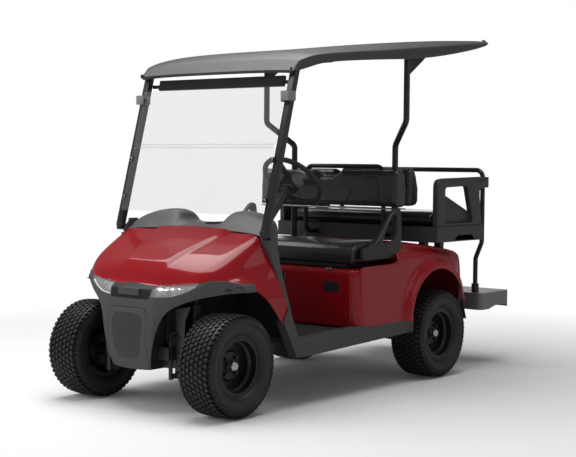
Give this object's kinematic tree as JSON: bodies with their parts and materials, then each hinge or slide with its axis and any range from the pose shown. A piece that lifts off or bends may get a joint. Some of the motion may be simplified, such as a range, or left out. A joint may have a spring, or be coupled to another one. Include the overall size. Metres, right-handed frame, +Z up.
{
  "type": "golf cart",
  "caption": "Open golf cart with a long roof, folding windshield, front bench and a rear-facing bench over a step, on small fat tyres.",
  "frame": {"origin": "on the ground, under the middle of the cart's bounding box", "axes": "+Z up, -Y the way the cart drives, +Y to its rear, +X to its left"},
  "size_m": [1.19, 2.7389, 1.96],
  "materials": {
    "body_paint": "deep red gloss paint",
    "trim_grey": "grained mid grey plastic",
    "dash_plastic": "grained dark grey plastic",
    "trim_black": "black plastic",
    "lamp_lens": "clear lamp lens",
    "clear_glass": "clear flat pane",
    "roof_plastic": "charcoal grained plastic",
    "frame_black": "black powder coat",
    "chassis_steel": "black chassis paint",
    "shock_black": "black paint",
    "mat_rubber": "ribbed black rubber",
    "pedal_rubber": "black rubber",
    "liner_plastic": "black liner plastic",
    "wheel_grip": "black grained grip",
    "seat_board": "dark stained board",
    "seat_vinyl": "black grained vinyl",
    "step_plastic": "dark grey moulded plastic",
    "flap_rubber": "black rubber",
    "battery_plastic": "dark casing",
    "rim_paint": "black wheel paint",
    "tyre_rubber": "black tyre rubber"
  },
  "bodies": {
    "chassis": {"front_cowl": "body_paint", "front_panel": "trim_grey", "headlamps": "lamp_lens", "badge_plate": "trim_black", "rocker_panels": "trim_grey", "dash_panel": "dash_plastic", "roof_canopy": "roof_plastic", "front_struts": "frame_black", "windshield": "clear_glass", "header_panel": "trim_black", "rear_struts": "frame_black", "rear_body": "body_paint", "suspension_arms": "chassis_steel", "front_shocks": "shock_black", "frame_rails": "chassis_steel", "floor_plate": "chassis_steel", "floor_mat": "mat_rubber", "pedals": "pedal_rubber", "wheel_liners": "liner_plastic", "steering_column": "frame_black", "front_seat_back": "seat_vinyl", "rear_seat_back": "seat_vinyl", "seat_back_frame": "frame_black", "rear_tray": "trim_grey", "front_armrests": "trim_grey", "rear_armrests": "trim_grey", "grab_frame": "frame_black", "rear_step": "step_plastic", "mudflaps": "flap_rubber", "rear_axle": "chassis_steel", "rear_springs": "chassis_steel", "battery_block": "battery_plastic"},
    "wheel_front_left": {"rim_front_left": "rim_paint", "tyre_front_left": "tyre_rubber"},
    "wheel_front_right": {"rim_front_right": "rim_paint", "tyre_front_right": "tyre_rubber"},
    "wheel_rear_left": {"rim_rear_left": "rim_paint", "tyre_rear_left": "tyre_rubber"},
    "wheel_rear_right": {"rim_rear_right": "rim_paint", "tyre_rear_right": "tyre_rubber"},
    "knuckle_left": {"knuckle_left": "chassis_steel"},
    "knuckle_right": {"knuckle_right": "chassis_steel"},
    "tie_rods": {"tie_rods": "chassis_steel"},
    "steering_wheel": {"steering_wheel": "wheel_grip"},
    "front_seat": {"front_seat_cushion": "seat_vinyl", "seat_pan": "seat_board"},
    "rear_seat": {"rear_seat_cushion": "seat_vinyl"}
  },
  "joints": [
    {"name": "wheel_front_left_spin", "type": "hinge", "parent": "knuckle_left", "child": "wheel_front_left", "pos_m": [0.451, -1.1225, 0.247], "axis": [1, 0, 0], "continuous": true},
    {"name": "wheel_front_right_spin", "type": "hinge", "parent": "knuckle_right", "child": "wheel_front_right", "pos_m": [-0.451, -1.1225, 0.247], "axis": [1, 0, 0], "continuous": true},
    {"name": "wheel_rear_left_spin", "type": "hinge", "parent": "chassis", "child": "wheel_rear_left", "pos_m": [0.489, 0.5465, 0.247], "axis": [1, 0, 0], "continuous": true},
    {"name": "wheel_rear_right_spin", "type": "hinge", "parent": "chassis", "child": "wheel_rear_right", "pos_m": [-0.489, 0.5465, 0.247], "axis": [1, 0, 0], "continuous": true},
    {"name": "knuckle_left_steer", "type": "hinge", "parent": "chassis", "child": "knuckle_left", "pos_m": [0.36, -1.1225, 0.247], "axis": [0, 0, 1], "range_deg": [-28, 28]},
    {"name": "knuckle_right_steer", "type": "hinge", "parent": "chassis", "child": "knuckle_right", "pos_m": [-0.36, -1.1225, 0.247], "axis": [0, 0, 1], "range_deg": [-28.5, 28.5]},
    {"name": "steering_wheel_turn", "type": "hinge", "parent": "chassis", "child": "steering_wheel", "pos_m": [0.25, -0.3975, 1.111], "axis": [0, 0.6972, 0.7169], "range_deg": [-425, 425]},
    {"name": "tie_rod_slide", "type": "slide", "parent": "chassis", "child": "tie_rods", "axis": [1, 0, 0], "range_m": [-0.073, 0.073]},
    {"name": "front_seat_lift", "type": "hinge", "parent": "chassis", "child": "front_seat", "pos_m": [0, 0.1735, 0.764], "axis": [-1, 0, 0], "range_deg": [0, 70]},
    {"name": "rear_seat_lift", "type": "hinge", "parent": "chassis", "child": "rear_seat", "pos_m": [0, 0.5775, 0.856], "axis": [1, 0, 0], "range_deg": [0, 55]}
  ],
  "couplings": [
    {"joint": "knuckle_right_steer", "follows": "knuckle_left_steer", "ratio": 1},
    {"joint": "steering_wheel_turn", "follows": "knuckle_left_steer", "ratio": 15},
    {"joint": "tie_rod_slide", "follows": "knuckle_left_steer", "m_per_rad": -0.144}
  ]
}
